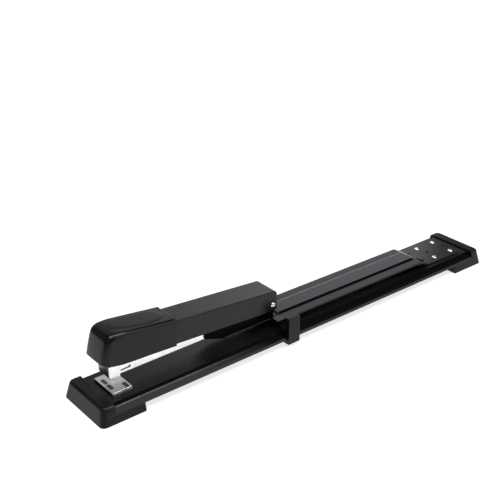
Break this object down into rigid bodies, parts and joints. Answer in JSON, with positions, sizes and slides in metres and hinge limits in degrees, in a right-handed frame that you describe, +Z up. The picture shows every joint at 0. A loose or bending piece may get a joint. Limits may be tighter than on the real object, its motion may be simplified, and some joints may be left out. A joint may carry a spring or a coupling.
{
  "type": "long reach stapler",
  "caption": "Long reach stapler: a long pressed base on two feet, an arm riveted at the rear that carries the hinged head and magazine at the front, and a sliding paper guide.",
  "frame": {"origin": "under the middle of the stapler, on the surface it stands on", "axes": "+X along the base from the anvil end to the rear end, +Z up, -Y the side with the head of the hinge pin"},
  "size_m": [0.4324, 0.0588, 0.065],
  "materials": {
    "black_paint": "semi-gloss black paint",
    "black_plastic": "satin moulded black",
    "pad_plastic": "fine matt texture",
    "plated_steel": "bright nickel plate",
    "spring_steel": "polished spring wire and strip",
    "staple_wire": "galvanised wire",
    "pusher_plastic": "smooth moulded black",
    "block_steel": "sawn mild steel"
  },
  "bodies": {
    "base": {"base_rail": "black_paint", "front_foot": "black_plastic", "rear_foot": "black_plastic", "arm": "black_paint", "arm_rivets": "plated_steel", "hinge_pin": "plated_steel", "pin_retaining_ring": "plated_steel", "pin_spacers": "plated_steel", "lift_spring": "spring_steel", "lift_spring_rivet": "plated_steel"},
    "anvil": {"anvil_plate": "plated_steel", "anvil_stud": "plated_steel", "anvil_spring": "spring_steel", "anvil_retainer": "plated_steel"},
    "magazine": {"magazine": "plated_steel", "nose_plate": "plated_steel", "staple_strip": "staple_wire", "pusher_rod": "plated_steel", "pusher_spring": "spring_steel", "spring_anchor": "plated_steel", "head_return_spring": "spring_steel"},
    "pusher": {"pusher": "pusher_plastic"},
    "head": {"head_cover": "black_paint", "palm_cap": "black_plastic", "thumb_pad": "pad_plastic", "driver_blade": "spring_steel", "driver_block": "block_steel", "driver_rivets": "plated_steel"},
    "guide": {"paper_guide": "black_plastic"}
  },
  "joints": [
    {"name": "magazine_pivot", "type": "hinge", "parent": "base", "child": "magazine", "pos_m": [-0.039, 0, 0.0354], "axis": [0, 1, 0], "range_deg": [-3.5, 0], "stiffness_Nm_per_rad": 0.8, "springref_deg": 20.05, "deforming": ["lift_spring"]},
    {"name": "head_pivot", "type": "hinge", "parent": "magazine", "child": "head", "pos_m": [-0.039, 0, 0.0354], "axis": [0, 1, 0], "range_deg": [-3.2, 95], "stiffness_Nm_per_rad": 0.5, "springref_deg": 9.05, "deforming": ["head_return_spring"]},
    {"name": "pusher_slide", "type": "slide", "parent": "magazine", "child": "pusher", "axis": [1, 0, 0], "range_m": [0, 0.055], "stiffness_N_per_m": 20, "springref_m": -0.05, "deforming": ["pusher_spring"]},
    {"name": "anvil_turn", "type": "hinge", "parent": "base", "child": "anvil", "pos_m": [-0.1881, 0, 0.0134], "axis": [0, 0, 1], "range_deg": [0, 180]},
    {"name": "paper_guide_slide", "type": "slide", "parent": "base", "child": "guide", "axis": [1, 0, 0], "range_m": [-0.137, 0.155]}
  ]
}
